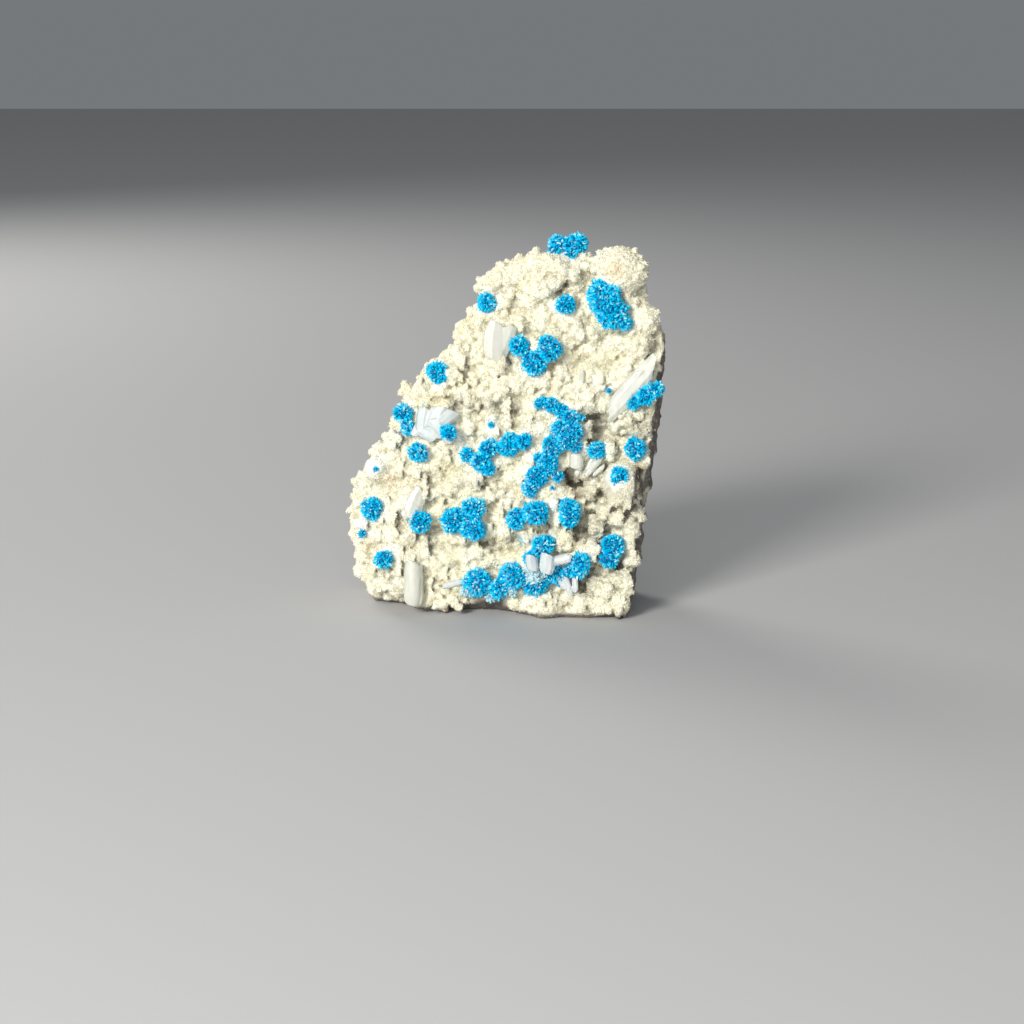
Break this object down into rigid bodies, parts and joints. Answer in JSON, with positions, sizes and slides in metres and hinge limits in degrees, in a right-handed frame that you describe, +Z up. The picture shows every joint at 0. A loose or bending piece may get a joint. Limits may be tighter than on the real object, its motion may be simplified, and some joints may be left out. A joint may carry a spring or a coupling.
{
  "type": "cavansite mineral specimen",
  "caption": "Standing cream-white drusy rock with round rosettes of bright blue crystals and clear and white blades on its leaning show face.",
  "frame": {"origin": "centre of the foot's box, on the surface that the specimen stands on", "axes": "+Z up, +X to the right of the show face as it is looked at, the show face looks along -Y"},
  "size_m": [0.1114, 0.0632, 0.1281],
  "materials": {
    "matrix": "matte",
    "cavansite": "satin",
    "clear_crystal": "gloss",
    "white_crystal": "gloss"
  },
  "bodies": {
    "root": {"matrix": "matrix", "clear_plate": "clear_crystal", "long_white_blade": "white_crystal", "clear_block_group": "clear_crystal", "clear_prism": "clear_crystal", "pale_blade": "white_crystal", "white_crystal_group": "white_crystal", "small_white_blade": "white_crystal", "round_white_crystal": "white_crystal", "hollow_blade": "white_crystal", "small_white_needle": "white_crystal", "hanging_blades": "white_crystal", "cavansite_crown": "cavansite", "cavansite_upper_left": "cavansite", "cavansite_upper_small": "cavansite", "cavansite_oval_cap": "cavansite", "cavansite_vee": "cavansite", "cavansite_left_shoulder": "cavansite", "cavansite_right_fan": "cavansite", "cavansite_right_speck": "cavansite", "cavansite_left_edge_pair": "cavansite", "cavansite_star": "cavansite", "cavansite_left_middle": "cavansite", "cavansite_centre_spray": "cavansite", "cavansite_chain": "cavansite", "cavansite_river": "cavansite", "cavansite_river_speck": "cavansite", "cavansite_hollow": "cavansite", "cavansite_right_upper": "cavansite", "cavansite_disc": "cavansite", "cavansite_left_spray": "cavansite", "cavansite_far_left": "cavansite", "cavansite_left_fan": "cavansite", "cavansite_lower_left": "cavansite", "cavansite_left_ball": "cavansite", "cavansite_trefoil": "cavansite", "cavansite_pair": "cavansite", "cavansite_tall": "cavansite", "cavansite_bottom_chain": "cavansite", "cavansite_lower_right": "cavansite"}
  },
  "joints": []
}
